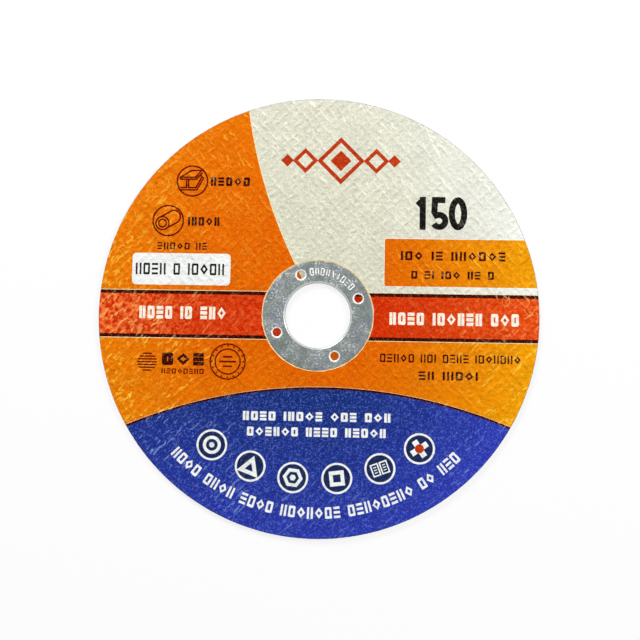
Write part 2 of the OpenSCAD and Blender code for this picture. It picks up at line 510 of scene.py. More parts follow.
def number_marks():
    """The wheel's size as a plain bold number."""
    height, stroke, x, y = 11.4, 2.1, 41.0, 35.5
    half, bowl = height / 2 - stroke / 2, 2.1
    one_x, flag = 0.3, 1.9
    one = [
        [(one_x, -half - stroke / 2), (one_x, half + stroke / 2)],
        [(one_x, half - 0.2), (-1.5, half - flag)],
    ]
    five_bowl = arc(-0.1, -half + bowl, bowl, math.radians(118), math.radians(-150))
    five = [[(2.0, half), (-1.55, half), (-1.75, 0.4)] + five_bowl]
    turns = np.linspace(0, 2 * math.pi, 28, endpoint=False)
    zero = [[(bowl * math.cos(t), half * math.sin(t)) for t in turns]]
    marks = []
    for shift, paths, closed in ((-6.0, one, False), (0.0, five, False), (6.3, zero, True)):
        for path in paths:
            marks += [("black", placed(quad, x + shift, y)) for quad in ribbon(path, stroke, closed)]
    return marks


def emblem_marks():
    """A plain row of diamonds in the upper field: a big one, two smaller ones and two small solid ones."""
    x, y = 7.1, 53.4
    middle_x, end_x = 12.2, 18.4
    marks = [(ink, regular(x, y, r, 4)) for ink, r in (("emblem", 8.2), ("pale", 6.3), ("emblem", 3.6))]
    for side in (-1, 1):
        marks.append(("emblem", regular(x + side * middle_x, y, 4.4, 4)))
        marks.append(("pale", regular(x + side * middle_x, y, 2.6, 4)))
        marks.append(("emblem", regular(x + side * end_x, y, 2.2, 4)))
    return marks


def ring_marks(x, y, r, line):
    """A round line, drawn inwards from its radius."""
    return [("line", figure) for figure in annulus(x, y, r - line, r)]


def drawing(x, y, paths, rings=()):
    """A picture in a ring about a place. Its own rings have their centre and their radius."""
    r, line = 5.5, 0.56
    figures = [quad for path in paths for quad in ribbon(path, line)]
    for ring_x, ring_y, radius in rings:
        figures += annulus(ring_x, ring_y, radius - line / 2, radius + line / 2)
    return ring_marks(x, y, r, line) + [("line", placed(figure, x, y)) for figure in figures]


def beam_marks():
    """Line drawing of a rolled beam."""
    top = [(-4.2, 0.6), (-4.2, 1.3), (1.1, 1.3), (3.1, 3.7), (-0.3, 3.7), (-4.2, 1.3)]
    top_edge = [(-4.2, 0.6), (1.3, 0.6), (3.4, 2.9)]
    web_left = [(-2.0, 0.6), (-2.0, -2.3), (-4.0, -2.3)]
    web_right = [(-1.3, 0.6), (-1.3, -2.3), (1.3, -2.3), (3.2, 1.4)]
    foot = [(-4.0, -3.1), (1.6, -3.1), (3.8, 1.0)]
    far = [(3.4, 2.9), (2.7, 2.1), (3.8, 1.0)]
    return drawing(-44.0, 45.8, [top, top_edge, web_left, web_right, foot, far])


def tube_marks():
    """Line drawing of a tube."""
    (mouth_x, mouth_y), run, lean = (-1.95, -0.9), 4.5, math.radians(30)
    outer, inner = 2.25, 1.35
    end_x, end_y = mouth_x + run * math.cos(lean), mouth_y + run * math.sin(lean)
    sides = (lean + math.pi / 2, lean - math.pi / 2)
    walls = zip(on_circle(mouth_x, mouth_y, outer, sides), on_circle(end_x, end_y, outer, sides))
    end = arc(end_x, end_y, outer, sides[1], sides[0])
    return drawing(-52.0, 31.9, [*walls, end], [(mouth_x, mouth_y, r) for r in (outer, inner)])


def seal_marks():
    """Plain round and barred marks in the lower left of the orange field."""
    x, y, line, outer, inner = -30.3, -16.2, 0.5, 6.2, 4.5
    rows, row_height = ((1.6, 3.2), (0, 5.8), (-1.6, 3.2)), 0.6
    between, dot, dots = 5.35, 0.38, 16
    marks = ring_marks(x, y, outer, line) + ring_marks(x, y, inner, line)
    marks += [("line", placed(box(0, row, width, row_height), x, y)) for row, width in rows]
    marks += [("line", regular(dot_x, dot_y, dot, 4)) for dot_x, dot_y in regular(x, y, between, dots)]
    disc_x, disc_y, disc_r, half_bars, bar_step, roundness = -57.8, -16.7, 3.4, 3, 0.95, 0.8
    for i in range(2 * half_bars + 1):
        width = disc_r * math.sqrt(1 - (i / half_bars - 1) ** 2 * roundness) * 2
        marks.append(("line", placed(box(0, (i - half_bars) * bar_step, width, line), disc_x, disc_y)))
    marks += word_line("354", -45.6, -15.6, 14.3, 4.3, 0.31, "dark", "orange")
    marks += word_line("24353423", -45.6, -19.7, 14.4, 1.75, 0.21, "line", "orange")
    return marks


def seat_marks(ring):
    """The stretched paper at the foot, on the slope and at the uneven lip of the seat, whose cream is
    partly a painted highlight along the flange's edge.
    """
    seat, lip = seat_radius(ring), lip_radius(ring)
    tuck, parts, reach = 0.1, 4, 1
    marks = []
    for inner, outer in ((FLANGE_R - tuck, seat), (seat, lip)):
        marks += [("cream", figure) for figure in annulus(0, 0, inner, outer, parts)]
    for figure in annulus(0, 0, lip, lip + reach, parts):
        marks.append(("cream", [frayed(point, lip, reach) for point in figure]))
    return marks


def frayed(point, lip, reach):
    """A point of the lip as it is, and one that lies its reach further out drawn in to the uneven edge."""
    r = math.hypot(*point)
    if r < lip + reach / 2:
        return point
    around = np.array([math.atan2(point[1], point[0]) * lip])
    width, swing = 0.13, 0.11
    edge = lip + width + swing * float(soft_noise(around, around * 0, size=1.7, seed=81)[0])
    return point[0] * edge / r, point[1] * edge / r


def label_marks(p, ring):
    marks = field_marks(p) + emblem_marks() + number_marks() + beam_marks() + tube_marks()
    marks += seal_marks() + sign_marks(p) + word_marks() + seat_marks(ring)
    return marks + [("", circle(0, 0, BORE_R + ring.mouth / MM))]


# Meshes

def spread_points(inner, outer, step, seed):
    """Points in rows of triangles over a ring, each a little off its place."""
    rng = np.random.default_rng(seed)
    off = 0.12
    rows = np.arange(-outer, outer, step * math.sqrt(3) / 2)
    points = []
    for i, y in enumerate(rows):
        xs = np.arange(-outer, outer, step) + (i % 2) * step / 2
        points.append(np.stack([xs, np.full_like(xs, y)], axis=1))
    points = np.concatenate(points) + rng.uniform(-off, off, (sum(len(r) for r in points), 2)) * step
    r = np.hypot(*points.T)
    return points[(r > inner + step / 2) & (r < outer - step / 2)]


def clear_of(points, taken, gap):
    """The points that lie at least a gap away from those already taken."""
    tree = KDTree(len(taken))
    for i, (x, y) in enumerate(taken):
        tree.insert((x, y, 0), i)
    tree.balance()
    return [p for p in points if tree.find((p[0], p[1], 0))[2] > gap]


def web(marks, step, points=()):
    """Triangles over all marks, and the number of the last mark over each. A mark with no ink is a hole."""
    clear, merge = step * 0.45, 1e-5
    outlines = [with_steps(anticlockwise(list(outline)), step) for ink, outline in marks]
    edge_points = [p for outline in outlines for p in outline]
    inside = clear_of(points, edge_points, clear)
    corners = [Vector(p) for p in edge_points] + [Vector((float(x), float(y))) for x, y in inside]
    faces, start = [], 0
    for outline in outlines:
        faces.append(list(range(start, start + len(outline))))
        start += len(outline)
    found = delaunay_2d_cdt(corners, [], faces, 0, merge, True)
    places, triangles, covers = np.array([(v.x, v.y) for v in found[0]]), found[2], found[5]
    kept, owners = [], []
    for triangle, cover in zip(triangles, covers):
        if cover and 0 in cover and marks[max(cover)][0]:
            kept.append(triangle)
            owners.append(max(cover))
    used, renumbered = np.unique(np.array(kept), return_inverse=True)
    return places[used], renumbered.reshape(-1, 3).tolist(), owners


def border_loops(triangles):
    """The closed borders of a web, each in order."""
    after = {}
    for a, b, c in triangles:
        for edge in ((a, b), (b, c), (c, a)):
            after[edge] = True
    follow = {a: b for a, b in after if (b, a) not in after}
    loops = []
    while follow:
        start, at = next(iter(follow.items()))
        loop = [start]
        del follow[start]
        while at != start:
            loop.append(at)
            at = follow.pop(at)
        loops.append(loop)
    return loops


class Shell:
    """Collects the vertices and faces of one piece, in millimetres, each face with its finish."""

    def __init__(self):
        self.vertices = []
        self.faces = []
        self.finishes = []

    def add(self, points, faces, finishes):
        start = len(self.vertices)
        self.vertices += [tuple(float(c) for c in p) for p in points]
        self.faces += [[start + i for i in face] for face in faces]
        self.finishes += list(finishes)

    def add_web(self, marks, found, level):
        """The triangles of a web, each with its mark's finish, at the level that a function gives."""
        places, faces, owners = found
        face = levelled(places, level(*places.T))
        self.add(face, faces, [marks[i][0] for i in owners])
        return face

    def add_rows(self, rows, finish):
        """Quads between closed rows of equally many points, with one finish for all or one for each row."""
        count = len(rows[0])
        names = [finish] * (len(rows) - 1) if isinstance(finish, str) else finish
        faces, marks = [], []
        for k in range(len(rows) - 1):
            for i in range(count):
                j = (i + 1) % count
                faces.append([k * count + i, k * count + j, (k + 1) * count + j, (k + 1) * count + i])
                marks.append(names[k])
        self.add([p for row in rows for p in row], faces, marks)

    def build(self, name, node, materials, sharp, strands=None):
        """Welds the piece, gives it its materials and sets it on the part.

        Edges of more than sharp degrees stay sharp. What strands gives for each place, the finishes read.
        """
        mesh = bpy.data.meshes.new(name)
        mesh.from_pydata([Vector(v) * MM for v in self.vertices], [], self.faces)
        names = list(materials)
        for material in materials.values():
            mesh.materials.append(material)
        mesh.polygons.foreach_set("material_index", [names.index(f) for f in self.finishes])
        if strands is not None:
            over = np.array(self.vertices)[:, :2]
            for label, parts in zip(("place", "hold"), strands(*over.T)):
                layer = mesh.attributes.new(label, "FLOAT_VECTOR", "POINT")
                layer.data.foreach_set("vector", np.column_stack(parts).astype(np.float32).ravel())
        weld(mesh)
        mesh.polygons.foreach_set("use_smooth", [True] * len(mesh.polygons))
        mesh.set_sharp_from_angle(angle=math.radians(sharp))
        piece = bpy.data.objects.new(name, mesh)
        bpy.context.scene.collection.objects.link(piece)
        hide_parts(node)
        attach(piece, BODY)
        return piece


def weld(mesh):
    """Joins corners that meet, drops slivers and turns all faces outwards."""
    near, sliver = 0.0005 * MM, 0.0002 * MM
    edit = bmesh.new()
    edit.from_mesh(mesh)
    bmesh.ops.remove_doubles(edit, verts=edit.verts, dist=near)
    bmesh.ops.dissolve_degenerate(edit, dist=sliver, edges=edit.edges)
    bmesh.ops.recalc_face_normals(edit, faces=edit.faces)
    edit.to_mesh(mesh)
    edit.free()


# Relief

def soft_noise(x, y, size, seed):
    """Smooth noise from -1 to 1 whose hills are about one size apart."""
    side = 256
    table = np.random.default_rng(seed).uniform(-1, 1, (side, side))
    gx, gy = x / size + side / 2, y / size + side / 2
    ix, iy = np.floor(gx).astype(int), np.floor(gy).astype(int)
    fx, fy = gx - ix, gy - iy
    fx, fy = fx * fx * (3 - 2 * fx), fy * fy * (3 - 2 * fy)
    near = table[ix % side, iy % side] * (1 - fx) + table[(ix + 1) % side, iy % side] * fx
    far = table[ix % side, (iy + 1) % side] * (1 - fx) + table[(ix + 1) % side, (iy + 1) % side] * fx
    return near * (1 - fy) + far * fy


def net_strands(x, y, relief, seed, evenness):
    """For each way the net runs: the place across it in pitches, and how high a strand stands there.

    An even net shows every strand alike. A crest lies at the middle of each pitch.
    """
    pitch = relief.net_pitch / MM
    wide_drift, fine_drift = 0.3, 0.12
    weave_middle, weave_swing = 0.72, 0.28
    hold_middle, hold_swing, apart = 0.35, 1.3, 9.7
    ways = []
    for k in range(2):
        turn = relief.net_turn + k * math.pi / 2
        along = x * math.cos(turn) + y * math.sin(turn)
        across = y * math.cos(turn) - x * math.sin(turn)
        across = across + wide_drift * soft_noise(x, y, size=17, seed=seed + k)
        across = across + fine_drift * soft_noise(x, y, size=5, seed=seed + 10 + k)
        count = across / pitch
        strand = np.floor(count)
        weave = weave_middle + weave_swing * np.cos(math.pi * (along / pitch + strand))
        hold = hold_middle + hold_swing * soft_noise(along, strand * apart, size=5.5, seed=seed + 20 + k)
        ways.append((count, weave * np.clip(evenness + (1 - evenness) * hold, 0, 1)))
    return ways


def net_crest(ways, relief):
    """Height of the highest strand at each point, from 0 between the strands to 1."""
    half = relief.strand_width / relief.net_pitch / 2
    ridges = [np.clip(1 - ((count % 1 - 0.5) / half) ** 2, 0, 1) * hold for count, hold in ways]
    return np.maximum(*ridges)


def lift_paper(x, y, relief, ring):
    """Height of the paper's face over the flat label, then the places and the heights of its strands."""
    r = np.hypot(x, y)
    flat_lip, lip_rise, rim_fall, rim_least = 0.06, 1.2, 0.6, 0.35
    free = np.clip((r - lip_radius(ring) - flat_lip) / lip_rise, 0, 1)
    free = free * np.clip((LABEL_R - r) / rim_fall, rim_least, 1)
    ways = net_strands(x, y, relief, seed=3, evenness=0.4)
    crest = net_crest(ways, relief) * free
    lean, squash, crest_middle = 1.1, 2.2, 0.35
    across = x * math.cos(lean) + y * math.sin(lean)
    along = y * math.cos(lean) - x * math.sin(lean)
    wave = soft_noise(across, along * squash, size=3.4, seed=53)
    grain = 0.6 * soft_noise(x, y, size=1.3, seed=51) + 0.4 * soft_noise(x, y, size=0.8, seed=52)
    height = relief.paper_depth / MM * (crest - crest_middle) + relief.grain_depth / MM * (grain + wave)
    deepest, highest = -0.08, 0.11
    (count_a, hold_a), (count_b, hold_b) = ways
    lift = np.clip(height, deepest, highest) * free
    return lift, (count_a, count_b, crest), (hold_a * free, hold_b * free, crest)


def into_seat(x, y, ring, level, seat_level):
    """Height of a face that steps down into the seat under the flange."""
    rise = np.clip((np.hypot(x, y) - seat_radius(ring)) / (ring.seat_slope / MM), 0, 1)
    return seat_level + (level - seat_level) * rise


def paper_face(x, y, relief, ring):
    """Height of the printed face, pressed over the net and the grit."""
    return into_seat(x, y, ring, FACE_Z, FLANGE_Z - ring.sheet / MM) + lift_paper(x, y, relief, ring)[0]


def paper_back(x, y, ring):
    """Height of the smooth back of the paper, which the moulding's seat shares."""
    return into_seat(x, y, ring, BODY_Z, FLANGE_Z - ring.sheet / MM - (FACE_Z - BODY_Z))


def back_level(x, y, relief):
    """Height of the back over the bench, least at the strands, then their places and heights."""
    ways = net_strands(x, y, relief, seed=33, evenness=0.72)
    crest = net_crest(ways, relief)
    grain = 0.5 + 0.3 * soft_noise(x, y, size=0.75, seed=61) + 0.2 * soft_noise(x, y, size=1.7, seed=62)
    height = relief.back_depth / MM * (0.8 * (1 - crest) + 0.2 * grain)
    (count_a, hold_a), (count_b, hold_b) = ways
    return height, (count_a, count_b, crest), (hold_a, hold_b, crest)


def seat_radius(ring):
    return FLANGE_R + ring.seat_gap / MM


def lip_radius(ring):
    return seat_radius(ring) + ring.seat_slope / MM


def levelled(places, heights):
    """Plane points set at their heights."""
    return np.column_stack([places, np.broadcast_to(heights, len(places))])


def raised(outline, level):
    """An outline or loop of plane points, each at the level that a function gives for it."""
    points = np.array(outline, float)
    return levelled(points, level(*points.T))


def turned(profile, count):
    """Rows of points round the axis, one for each radius and height of the profile."""
    turns = 2 * math.pi * np.arange(count) / count
    return [np.column_stack([r * np.cos(turns), r * np.sin(turns), np.full(count, z)]) for r, z in profile]


def flat(row):
    """A row of points seen from above."""
    return [(float(p[0]), float(p[1])) for p in row]


# The label

def make_label(sizes, relief, ring, inks):
    """The paper: its printed face, its cut edges and its back."""
    step = relief.paper_step / MM
    marks = label_marks(sizes, ring)
    fill = spread_points(BORE_R + ring.mouth / MM, LABEL_R, step, seed=7)
    found = web(marks, step, fill)
    shell = Shell()
    face = shell.add_web(marks, found, lambda x, y: paper_face(x, y, relief, ring))
    edges = []
    for loop in border_loops(found[1]):
        edge = [tuple(found[0][i]) for i in loop]
        shell.add_rows([face[loop], raised(edge, lambda x, y: paper_back(x, y, ring))], "paper")
        edges.append(edge)
    rim, hole = sorted(edges, key=lambda edge: -math.hypot(*edge[0]))
    creases = [circle(0, 0, r) for r in (lip_radius(ring), seat_radius(ring))]
    backs = [("paper", outline) for outline in (rim, *creases)] + [("", hole)]
    shell.add_web(backs, web(backs, 2 * WHEEL_R), lambda x, y: paper_back(x, y, ring))
    finishes = {ink: ink_finish(ink, inks, relief) for ink in FLECKS}
    finishes["paper"] = paper_finish()
    return shell.build("printed_label", "label", finishes, 50,
                       lambda x, y: lift_paper(x, y, relief, ring)[1:])


# The moulding

def moulding_face(x, y, ring):
    """Height of the moulding's face from the bore to the rim."""
    seat, lip = seat_radius(ring), lip_radius(ring)
    floor = paper_back(seat, 0, ring)
    mouth = FLANGE_Z - ring.mouth / MM
    bore = BORE_R + (ring.sheet + ring.collar_gap) / MM
    bend = BORE_R + ring.mouth / MM
    return np.interp(np.hypot(x, y), [bore, bend, seat, lip], [mouth, floor, floor, BODY_Z])


def rim_rows(relief, count):
    """The worn, gritty rim, from the back's edge to the face's edge."""
    worn, grit = relief.rim_break / MM, relief.rim_grit / MM
    between = np.linspace(worn, BODY_Z - worn, 6)[1:-1]
    slant, chip_middle, chip_swing, edge_share = 2.2, 0.5, 0.6, 0.5
    rows = []
    for z in (0.0, worn, *between, BODY_Z - worn, BODY_Z):
        edge = z in (0.0, BODY_Z)
        row = turned([(1.0, z)], count)[0]
        around = np.arctan2(row[:, 1], row[:, 0]) * WHEEL_R
        noise = soft_noise(around, np.full(count, z * slant), size=0.8, seed=71)
        chips = np.clip(noise * chip_swing + chip_middle, 0, 1)
        r = WHEEL_R - (worn if edge else 0) - grit * chips * (edge_share if edge else 1)
        row[:, :2] *= r[:, None]
        rows.append(row)
    rows[0] = raised(flat(rows[0]), lambda x, y: back_level(x, y, relief)[0])
    return rows


def make_moulding(relief, ring):
    """The moulded disc: its netted back, its rim, the seat on its face and its bore."""
    step, rim_points, clear = relief.back_step / MM, 1100, 0.2
    bore = circle(0, 0, BORE_R + (ring.sheet + ring.collar_gap) / MM)
    rim = rim_rows(relief, rim_points)
    marks = [("net", flat(rim[0])), ("", bore)]
    fill = spread_points(math.hypot(*bore[0]), WHEEL_R - clear, step, seed=17)
    shell = Shell()
    shell.add_web(marks, web(marks, step, fill), lambda x, y: back_level(x, y, relief)[0])
    shell.add_rows(rim, "grit")
    creases = (lip_radius(ring), seat_radius(ring), BORE_R + ring.mouth / MM)
    marks = [("grit", flat(rim[-1]))] + [("grit", circle(0, 0, r)) for r in creases]
    marks.append(("", bore))
    shell.add_web(marks, web(marks, 2 * WHEEL_R), lambda x, y: moulding_face(x, y, ring))
    upper = raised(bore, lambda x, y: moulding_face(x, y, ring))
    lower = raised(bore, lambda x, y: back_level(x, y, relief)[0])
    shell.add_rows([upper, lower], "grit")
    finishes = {"net": net_finish(relief), "grit": grit_finish()}
    return shell.build("net_moulding", "abrasive_disc", finishes, 50,
                       lambda x, y: back_level(x, y, relief)[1:])


# The arbor ring

# The plain marks pressed into the flange, each as strokes from one point to another
STAMPS = {
    "1": [(0, -1.15, 0, 1.15)],
    "2": [(-0.42, -1.15, -0.42, 1.15), (0.42, -1.15, 0.42, 1.15)],
    "3": [(-0.5, -1.1, 0.5, -1.1), (0.5, -1.1, 0.5, 1.1), (0.5, 1.1, -0.5, 1.1), (-0.5, 1.1, -0.5, -1.1)],
    "4": [(-0.5, -1.0, 0.5, -1.0), (-0.5, 0, 0.5, 0), (-0.5, 1.0, 0.5, 1.0)],
    "5": [(-0.45, -1.15, 0.45, 1.15)],
}
STAMP_ROW = "323251343"
STAMP_LINE = 0.34
BEND_STEPS = 8


def stamp_strokes():
    """Where the strokes of the row of marks lie on the flange."""
    first, sweep, radius = 98.5, 57, 15.05
    strokes = []
    for i, kind in enumerate(STAMP_ROW):
        turn = math.radians(first - sweep * i / (len(STAMP_ROW) - 1))
        out = (math.cos(turn), math.sin(turn))
        along = (-out[1], out[0])
        for stroke in STAMPS[kind]:
            ends = []
            for u, v in (stroke[:2], stroke[2:]):
                ends.append(tuple(radius * out[k] + u * along[k] + v * out[k] for k in (0, 1)))
            strokes.append(ends)
    return strokes


def stamp_depth(x, y, strokes):
    """How deep the marks are pressed at each point."""
    far, deepest, slope = 9.0, 0.06, 0.1
    near = np.full_like(x, far)
    for (ax, ay), (bx, by) in strokes:
        dx, dy = bx - ax, by - ay
        t = np.clip(((x - ax) * dx + (y - ay) * dy) / (dx * dx + dy * dy), 0, 1)
        near = np.minimum(near, np.hypot(x - ax - t * dx, y - ay - t * dy))
    return deepest * np.clip((STAMP_LINE / 2 - near) / slope, 0, 1)


def key_places(ring):
    """Centres of the keying holes."""
    return regular(0, 0, ring.key_circle / MM / 2, ring.key_count, ring.key_turn)


def collar_profile(ring):
    """Radius and height from the flange's face over the bend, down the collar and back to its underside."""
    mouth, sheet, worn = ring.mouth / MM, ring.sheet / MM, 0.05
    bend, bend_z = BORE_R + mouth, FLANGE_Z - mouth
    turns = np.radians(np.linspace(90, 180, BEND_STEPS + 1))
    over = on_circle(bend, bend_z, mouth, turns)
    collar = [
        (BORE_R, COLLAR_Z + worn),
        (BORE_R + worn, COLLAR_Z),
        (BORE_R + sheet - worn, COLLAR_Z),
        (BORE_R + sheet, COLLAR_Z + worn),
    ]
    return over + collar + on_circle(bend, bend_z, mouth - sheet, turns[::-1])


def make_ring(ring):
    """The pressed ring: flange with its marks and keying holes, outer edge, bend and collar."""
    worn, worn_more, fine = 0.06, 0.06 * 0.3, 0.2
    tube_points, edge_points = 240, 260
    longest, step, clear = 1.1, 0.9, 0.7
    below = FLANGE_Z - ring.sheet / MM
    key_r, key_z = ring.key_diameter / MM / 2, FLANGE_Z - ring.bevel_depth / MM
    wide_r = key_r + ring.bevel_width / MM
    holes = [(x, y, circle(x, y, wide_r, fine)) for x, y in key_places(ring)]
    strokes = stamp_strokes()
    tube = turned(collar_profile(ring), tube_points)
    edge = turned([
        (FLANGE_R - worn, FLANGE_Z),
        (FLANGE_R - worn_more, FLANGE_Z - worn_more),
        (FLANGE_R, FLANGE_Z - worn),
        (FLANGE_R, below),
    ], edge_points)
    marks = [("steel", flat(edge[0]))]
    for width in (STAMP_LINE, STAMP_LINE - fine):
        marks += [("bright", quad) for stroke in strokes for quad in ribbon(stroke, width)]
    marks += [("", wide) for x, y, wide in holes]
    marks.append(("", flat(tube[0])))
    fill = spread_points(BORE_R + clear, FLANGE_R, step, seed=27)
    shell = Shell()
    shell.add_web(marks, web(marks, longest, fill), lambda x, y: FLANGE_Z - stamp_depth(x, y, strokes))
    for x, y, wide in holes:
        levels = ((wide_r, FLANGE_Z), (key_r, key_z), (key_r, below))
        rows = [levelled(drawn_in(wide, x, y, r / wide_r), z) for r, z in levels]
        shell.add_rows(rows, ["bright", "steel"])
    marks = [("steel", flat(edge[-1]))]
    marks += [("", drawn_in(wide, x, y, key_r / wide_r)) for x, y, wide in holes]
    marks.append(("", flat(tube[-1])))
    shell.add_web(marks, web(marks, 2 * WHEEL_R), lambda x, y: below)
    shell.add_rows(edge, "steel")
    shell.add_rows(tube, ["bend"] * BEND_STEPS + ["steel"] * (len(tube) - 1 - BEND_STEPS))
    finishes = {"steel": steel_finish(), "bright": bright_finish(), "bend": bend_highlight_finish()}
    return shell.build("pressed_ring", "arbor_ring", finishes, 30)


# Finishes

class Finish:
    """Builds one material from small steps. Its textures lie in metres in the part's own frame."""

    def __init__(self, name, metallic=0.0, specular=0.5):
        self.material = bpy.data.materials.new(name)
        self.material.use_nodes = True
        self.nodes = self.material.node_tree.nodes
        self.links = self.material.node_tree.links
        self.shader = self.nodes["Principled BSDF"]
        self.shader.inputs["Metallic"].default_value = metallic
        self.shader.inputs["Specular IOR Level"].default_value = specular
        self.place = self.nodes.new("ShaderNodeTexCoord").outputs["Object"]

    def feed(self, socket, value):
        if isinstance(value, bpy.types.NodeSocket):
            self.links.new(value, socket)
        elif isinstance(value, (float, int)):
            socket.default_value = value
        else:
            socket.default_value = (*value[:3], 1.0)

    def maths(self, kind, a, b=0.5):
        node = self.nodes.new("ShaderNodeMath")
        node.operation = kind
        self.feed(node.inputs[0], a)
        self.feed(node.inputs[1], b)
        return node.outputs[0]

    def times(self, a, b):
        return self.maths("MULTIPLY", a, b)

    def plus(self, a, b):
        return self.maths("ADD", a, b)

    def most(self, a, b):
        return self.maths("MAXIMUM", a, b)

    def from_axis(self):
        """Distance from the bore axis, place across and place up the label, in label radii."""
        node = self.nodes.new("ShaderNodeSeparateXYZ")
        self.links.new(self.place, node.inputs[0])
        size = self.nodes.new("ShaderNodeVectorMath")
        size.operation = "LENGTH"
        self.links.new(self.place, size.inputs[0])
        found = (size.outputs["Value"], node.outputs["X"], node.outputs["Y"])
        return [self.maths("DIVIDE", value, LABEL_R * MM) for value in found]

    def noise(self, size_mm, detail=2.0, stretch=1.0, turn=0.0):
        """Noise with hills about one size apart, drawn out along a direction if wanted."""
        node = self.nodes.new("ShaderNodeTexNoise")
        node.inputs["Scale"].default_value = 1 / (size_mm * MM)
        node.inputs["Detail"].default_value = detail
        place = self.place
        if stretch != 1.0:
            drawn = self.nodes.new("ShaderNodeMapping")
            drawn.vector_type = "TEXTURE"
            drawn.inputs["Rotation"].default_value = (0, 0, turn)
            drawn.inputs["Scale"].default_value = (stretch, 1, 1)
            self.links.new(self.place, drawn.inputs["Vector"])
            place = drawn.outputs["Vector"]
        self.links.new(place, node.inputs["Vector"])
        return node.outputs["Fac"]

    def spread(self, value, low, high, to_low=0.0, to_high=1.0):
        """A value from low to high taken to one from to_low to to_high, and no further."""
        node = self.nodes.new("ShaderNodeMapRange")
        for socket, number in zip(node.inputs[1:5], (low, high, to_low, to_high)):
            socket.default_value = number
        self.feed(node.inputs[0], value)
        return node.outputs[0]

    def drift(self, size_mm, detail, least, most):
        """A value that wanders between two others with soft noise."""
        return self.spread(self.noise(size_mm, detail), 0.3, 0.7, least, most)

    def of_mesh(self, label, part):
        """One part, X, Y or Z, of a value that the mesh holds at its vertices."""
        node = self.nodes.new("ShaderNodeAttribute")
        node.attribute_name = label
        split = self.nodes.new("ShaderNodeSeparateXYZ")
        self.links.new(node.outputs["Vector"], split.inputs[0])
        return split.outputs[part]

    def strand(self, part, half_width, wander):
        """The strands that run one way: 1 along their crests, 0 from a half width out, in pitches."""
        place = self.plus(self.of_mesh("place", part), wander)
        off = self.maths("ABSOLUTE", self.maths("SUBTRACT", self.maths("FRACT", place), 0.5))
        return self.times(self.spread(off, 0, half_width, 1, 0), self.of_mesh("hold", part))

    def mix(self, share, a, b):
        """Colour a, with a share of colour b."""
        node = self.nodes.new("ShaderNodeMix")
        node.data_type = "RGBA"
        self.feed(node.inputs["Factor"], share)
        self.feed(node.inputs[6], a)
        self.feed(node.inputs[7], b)
        return node.outputs[2]

    def shade(self, base, factor):
        """The colour made lighter or darker by a factor."""
        node = self.nodes.new("ShaderNodeHueSaturation")
        self.feed(node.inputs["Value"], factor)
        self.feed(node.inputs["Color"], base)
        return node.outputs[0]

    def bump(self, height, depth_mm, before=None):
        """The surface raised by a height, on top of the relief before it."""
        node = self.nodes.new("ShaderNodeBump")
        node.inputs["Distance"].default_value = depth_mm * MM
        node.inputs["Strength"].default_value = 1.0
        self.links.new(height, node.inputs["Height"])
        if before is not None:
            self.links.new(before, node.inputs["Normal"])
        return node.outputs[0]

    def done(self, base, roughness, normal):
        """The material, once its colour, roughness and relief are on the shader."""
        self.feed(self.shader.inputs["Base Color"], base)
        self.feed(self.shader.inputs["Roughness"], roughness)
        self.links.new(normal, self.shader.inputs["Normal"])
        return self.material


# For each ink: the colour and share of its painted highlight strokes, and the colour and share of its fine
# painted highlight specks, with colours from 0 to 255 in each channel
FLECKS = {
    "orange": ((255, 206, 66), 0.95, (250, 150, 10), 0.36),
    "red": ((255, 180, 100), 0.85, (242, 112, 50), 0.35),
    "blue": ((158, 184, 255), 0.48, (84, 104, 208), 0.60),
    "navy": ((120, 130, 190), 0.3, (60, 66, 110), 0.4),
    "pale": ((253, 252, 236), 0.9, (244, 243, 224), 0.6),
    "white": ((255, 255, 250), 0.6, (250, 250, 244), 0.5),
    "dark": ((214, 168, 118), 0.7, (104, 26, 8), 0.5),
    "line": ((224, 120, 50), 0.4, (124, 30, 6), 0.4),
    "black": ((150, 148, 135), 0.45, (62, 60, 54), 0.5),
    "emblem": ((236, 140, 90), 0.5, (214, 84, 48), 0.4),
    "warm": ((255, 250, 238), 0.6, (254, 244, 226), 0.5),
    "cream": ((255, 246, 214), 0.5, (255, 238, 190), 0.4),
}


# For the inks that show the press most: the share of the specks' colour, as painted highlight blotches, at
# the ends of the label, and how softly those blotches fade out. Painted shade of the relief follows the
# same blotches.
PAINTED_RELIEF_LIGHT = {"orange": (0.50, 0.30), "red": (0.80, 0.09)}


